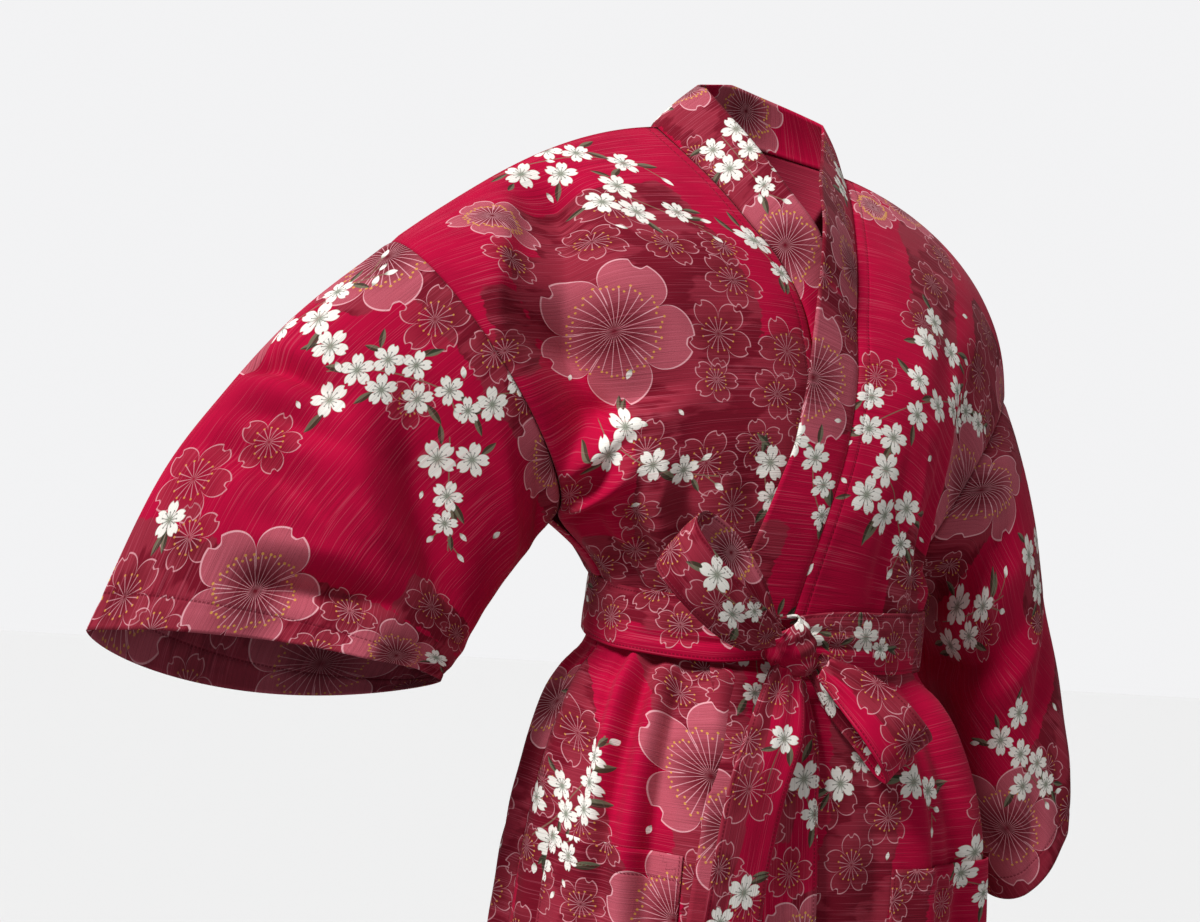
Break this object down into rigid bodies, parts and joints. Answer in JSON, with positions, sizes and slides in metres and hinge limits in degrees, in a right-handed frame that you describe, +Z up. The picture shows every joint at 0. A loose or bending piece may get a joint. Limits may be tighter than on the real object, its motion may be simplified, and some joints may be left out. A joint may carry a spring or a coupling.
{
  "type": "kimono robe",
  "caption": "Worn kimono-style cotton robe: wide sleeves, left front lapped over right, collar band to the hem, patch pockets and a tie belt in a bow.",
  "frame": {"origin": "midway between the two neck points of the collar seam, where the robe rests on its wearer", "axes": "+Z up, -Y the way the wearer faces, +X to the wearer's left"},
  "size_m": [0.8859, 0.3688, 1.0644],
  "materials": {
    "printed_cotton": "slubbed plain-weave cotton, crimson with a cherry blossom print, matt"
  },
  "bodies": {
    "root": {"back": "printed_cotton", "front_right": "printed_cotton", "front_left": "printed_cotton", "sleeve_right": "printed_cotton", "sleeve_left": "printed_cotton", "collar_band": "printed_cotton", "pocket_right": "printed_cotton", "pocket_left": "printed_cotton", "belt_wrap": "printed_cotton", "belt_knot": "printed_cotton", "belt_loop_upper": "printed_cotton", "belt_loop_lower": "printed_cotton", "belt_tail_front": "printed_cotton", "belt_tail_back": "printed_cotton"}
  },
  "joints": []
}
